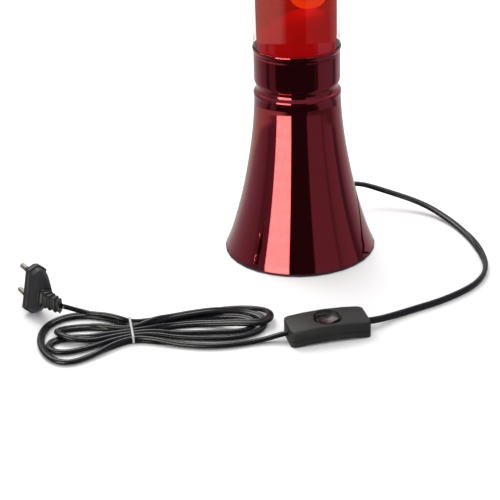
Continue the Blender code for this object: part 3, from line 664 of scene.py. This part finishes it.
def wax_blob(name, node, body, centre, bottom, top, radius, seed, foot_power=0.9):
    """A drop of wax, fuller below than above, with a slightly uneven skin.

    A lower foot_power gives it a blunter foot.
    """
    points = [(centre[0], centre[1], bottom)]
    for k in range(1, WAX_RINGS):
        t = math.pi * k / WAX_RINGS
        height = bottom + (top - bottom) * (0.5 - 0.5 * math.cos(t)) ** FULLNESS_BELOW
        power = HEAD_POWER if t > math.pi / 2.0 else foot_power
        for i in range(WAX_SIDES):
            angle = 2.0 * math.pi * i / WAX_SIDES
            spot = Vector((math.cos(angle), math.sin(angle), height * UNEVEN_RATE + seed))
            swell = 1.0 + UNEVENNESS * (noise.noise(spot) - UNEVEN_MIDDLE)
            reach = radius * math.sin(t) ** power * swell
            points.append((centre[0] + reach * spot.x, centre[1] + reach * spot.y, height))
    points.append((centre[0], centre[1], top))
    faces = [(0, 1 + (i + 1) % WAX_SIDES, 1 + i) for i in range(WAX_SIDES)]
    faces += ring_faces(WAX_RINGS - 1, WAX_SIDES, first=1)
    last = 1 + (WAX_RINGS - 2) * WAX_SIDES
    faces += [(last + i, last + (i + 1) % WAX_SIDES, len(points) - 1) for i in range(WAX_SIDES)]
    piece = add_piece(name, points, faces, wax, body)
    orient(piece.data)
    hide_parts(node)


wax_blob("wax_column_skin", "wax_column", "wax_column", (8.4, -2.6), 183.2, 245.6, 16.4, 0.3, 0.62)
wax_blob("wax_drop_large_skin", "wax_drop_large", "wax_drop_large", (4.0, 2.0), 264.2, 293.8, 12.8, 5.1)
wax_blob("wax_drop_small_skin", "wax_drop_small", "wax_drop_small", (-5.0, -2.0), 312.2, 327.8, 7.3, 9.7)

# The pool's top leans to one side, towards the column. Each station is (height, radius, lean).
POOL_STATIONS = [
    (131.2, 14.0, 0.0), (131.5, 22.4, 0.0), (134.4, 25.3, 0.0), (138.5, 26.8, 0.0), (142.0, 27.3, 0.0),
    (149.0, 27.5, 0.0), (156.0, 27.7, 0.0), (162.0, 27.2, 0.3), (168.0, 23.6, 2.2), (173.8, 18.2, 5.2),
    (178.2, 11.6, 8.6), (180.4, 5.0, 10.6),
]
POOL_BOTTOM = (0.0, 0.0, 131.1)
POOL_TOP = (11.2, 0.0, 181.2)


def pool_skin():
    """The wax that rests at the bottle's bottom."""
    line = centripetal(POOL_STATIONS, 5)
    points = []
    for height, radius, lean in line:
        for i in range(WAX_SIDES):
            angle = 2.0 * math.pi * i / WAX_SIDES
            points.append((lean + radius * math.cos(angle), radius * math.sin(angle), height))
    low = len(points)
    top_ring = low - WAX_SIDES
    points += [POOL_BOTTOM, POOL_TOP]
    faces = ring_faces(len(line), WAX_SIDES)
    for i in range(WAX_SIDES):
        j = (i + 1) % WAX_SIDES
        faces += [(low, j, i), (top_ring + i, top_ring + j, low + 1)]
    piece = add_piece("wax_pool_skin", points, faces, wax, "bottle")
    orient(piece.data)
    return piece


pool = pool_skin()
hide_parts("wax_pool")


# ---------------------------------------------------------------- floor, sky and lights

FLOOR_HALF = 6.0
floor_mesh = bpy.data.meshes.new("floor")
floor_corners = [(x * FLOOR_HALF, y * FLOOR_HALF, 0.0) for x, y in ((-1, -1), (1, -1), (1, 1), (-1, 1))]
floor_mesh.from_pydata(floor_corners, [], [(0, 1, 2, 3)])
floor_material = new_material("pale_floor", (0.9, 0.9, 0.9), roughness=0.75)
floor_mesh.materials.append(floor_material)
floor = bpy.data.objects.new("floor", floor_mesh)
scene.collection.objects.link(floor)
floor.visible_glossy = False
floor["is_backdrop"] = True

world = bpy.data.worlds.new("studio")
scene.world = world
world.use_nodes = True
nodes = world.node_tree.nodes
links = world.node_tree.links
nodes.clear()


def math_node(operation, first, second=None):
    """One arithmetic node; inputs are sockets or numbers."""
    node = nodes.new("ShaderNodeMath")
    node.operation = operation
    for socket, value in zip(node.inputs, (first, second)):
        if value is None:
            continue
        if isinstance(value, (int, float)):
            socket.default_value = value
        else:
            links.new(value, socket)
    return node.outputs["Value"]


# The studio as polished surfaces see it: degrees from the front towards +X, and brightness.
# The collar mirrors the lowest elevations, the bottle those just above, and the flare the rest.
COLLAR_BANDS = [
    (-180, 0.5), (-130, 0.35), (-105, 0.2), (-92, 0.17), (-88, 0.06), (-80, 0.06), (-77, 0.13), (-62, 0.12),
    (-57, 0.025), (46, 0.025), (50, 0.06), (55, 0.035), (60, 0.19), (105, 0.18), (112, 0.08), (120, 0.1),
    (130, 0.35), (180, 0.5),
]
BOTTLE_BANDS = [
    (-180, 0.5), (-120, 0.46), (-44, 0.44), (-24, 0.03), (24, 0.03), (26, 0.11), (95, 0.11), (120, 0.3),
    (180, 0.5),
]
FLARE_BANDS = [
    (-180, 0.5), (-140, 0.4), (-122, 0.3), (-100, 0.24), (-84, 0.2), (-76, 0.12), (-56, 0.16),
    (-55, 5.2), (-18, 5.2), (-17, 0.025), (22, 0.028), (24, 0.2), (60, 0.2), (64, 0.12), (70, 0.2),
    (84, 0.22), (94, 0.22), (97, 0.08), (104, 0.1), (110, 0.2), (122, 0.3), (140, 0.4), (180, 0.5),
]
BRIGHTEST = 8.0

# Edges of the studio's parts, in degrees of elevation, or of bearing away from the front.
COLLAR_EDGE = (-18.4, -18.32)
BOTTLE_EDGE = (-15.4, -13.8)
CEILING_EDGE = (24.0, 40.0)
ZENITH_EDGE = (60.0, 72.0)
REAR_EDGE = (105.0, 140.0)
CEILING_LEVEL = 0.25
REAR_LEVEL = 0.9

# Dim panels are a little blue, bright ones a little warm, and so is what the bottle mirrors.
DIM_LEVELS = (0.25, 0.5)
BRIGHT_LEVELS = (1.5, 4.0)
DIM_BLUE = 1.25
BRIGHT_BLUE = 0.85
BOTTLE_BLUE = 0.8

place = nodes.new("ShaderNodeTexCoord")
split = nodes.new("ShaderNodeSeparateXYZ")
links.new(place.outputs["Generated"], split.inputs["Vector"])
azimuth = math_node("ARCTAN2", split.outputs["X"], math_node("MULTIPLY", split.outputs["Y"], -1.0))
bearing = math_node("ADD", math_node("DIVIDE", azimuth, 2.0 * math.pi), 0.5)
elevation = math_node("ARCSINE", split.outputs["Z"])


def studio_bands(levels):
    """Brightness round the studio from a list of bearings and levels."""
    ramp = nodes.new("ShaderNodeValToRGB")
    links.new(bearing, ramp.inputs["Fac"])
    stops = ramp.color_ramp.elements
    for index, (degrees, level) in enumerate(levels):
        position = degrees / 360.0 + 0.5
        stop = stops[index] if index < 2 else stops.new(position)
        stop.position = position
        share = level / BRIGHTEST
        stop.color = (share, share, share, 1.0)
    return math_node("MULTIPLY", ramp.outputs["Color"], BRIGHTEST)


def step_up(value, low, high):
    """0 below low and 1 above high, smooth between."""
    node = nodes.new("ShaderNodeMapRange")
    node.interpolation_type = "SMOOTHSTEP"
    node.inputs["From Min"].default_value = low
    node.inputs["From Max"].default_value = high
    links.new(value, node.inputs["Value"])
    return node.outputs["Result"]


def past(angle, edge):
    """0 before an edge given in degrees and 1 after it, for an angle in radians."""
    return step_up(angle, math.radians(edge[0]), math.radians(edge[1]))


def blend(low, high, share):
    """One level before an edge and another after it."""
    rest = math_node("SUBTRACT", 1.0, share)
    return math_node("ADD", math_node("MULTIPLY", low, rest), math_node("MULTIPLY", high, share))


past_collar = past(elevation, COLLAR_EDGE)
past_bottle = past(elevation, BOTTLE_EDGE)
level = blend(studio_bands(COLLAR_BANDS), studio_bands(BOTTLE_BANDS), past_collar)
level = blend(level, studio_bands(FLARE_BANDS), past_bottle)
behind = past(math_node("ABSOLUTE", azimuth), REAR_EDGE)
ceiling = blend(CEILING_LEVEL, REAR_LEVEL, behind)
ceiling = blend(ceiling, CEILING_LEVEL, past(elevation, ZENITH_EDGE))
level = blend(level, ceiling, past(elevation, CEILING_EDGE))

cool = blend(DIM_BLUE, 1.0, step_up(level, *DIM_LEVELS))
warm = blend(1.0, BRIGHT_BLUE, step_up(level, *BRIGHT_LEVELS))
on_bottle = math_node("MULTIPLY", past_collar, math_node("SUBTRACT", 1.0, past_bottle))
blueness = math_node("MULTIPLY", math_node("MULTIPLY", cool, warm), blend(1.0, BOTTLE_BLUE, on_bottle))
tone = nodes.new("ShaderNodeCombineColor")
links.new(level, tone.inputs["Red"])
links.new(level, tone.inputs["Green"])
links.new(math_node("MULTIPLY", level, blueness), tone.inputs["Blue"])

# Only mirrored rays see the studio: the camera and all other rays see a plain white room.
room = nodes.new("ShaderNodeBackground")
room.inputs["Color"].default_value = (1.0, 1.0, 1.0, 1.0)
room.inputs["Strength"].default_value = 0.95
studio = nodes.new("ShaderNodeBackground")
links.new(tone.outputs["Color"], studio.inputs["Color"])
rays = nodes.new("ShaderNodeLightPath")
mix = nodes.new("ShaderNodeMixShader")
links.new(rays.outputs["Is Glossy Ray"], mix.inputs["Fac"])
links.new(room.outputs["Background"], mix.inputs[1])
links.new(studio.outputs["Background"], mix.inputs[2])
output = nodes.new("ShaderNodeOutputWorld")
links.new(mix.outputs["Shader"], output.inputs["Surface"])


def softbox(name, place, target, size, power, mirrored=False):
    """A square area light that the camera doesn't see; polished surfaces show it if mirrored."""
    data = bpy.data.lights.new(name, "AREA")
    data.shape = "SQUARE"
    data.size = size
    data.energy = power
    light = bpy.data.objects.new(name, data)
    light.location = place
    light.rotation_euler = (Vector(target) - Vector(place)).to_track_quat("-Z", "Y").to_euler()
    light.visible_glossy = mirrored
    light.visible_camera = False
    scene.collection.objects.link(light)


softbox("key", (-0.5, 0.9, 1.6), (0.0, -0.05, 0.0), 1.2, 22.0, mirrored=True)
softbox("fill", (0.9, -0.7, 1.3), (0.0, -0.05, 0.05), 1.4, 5.0)

visual_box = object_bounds()


def plain(value):
    """Nested vectors as plain lists of numbers."""
    if isinstance(value, (int, float)):
        return float(value)
    if isinstance(value, dict):
        return {key: plain(item) for key, item in value.items()}
    return [plain(item) for item in value]


{"cad": plain(cad_box), "visual": plain(visual_box)}
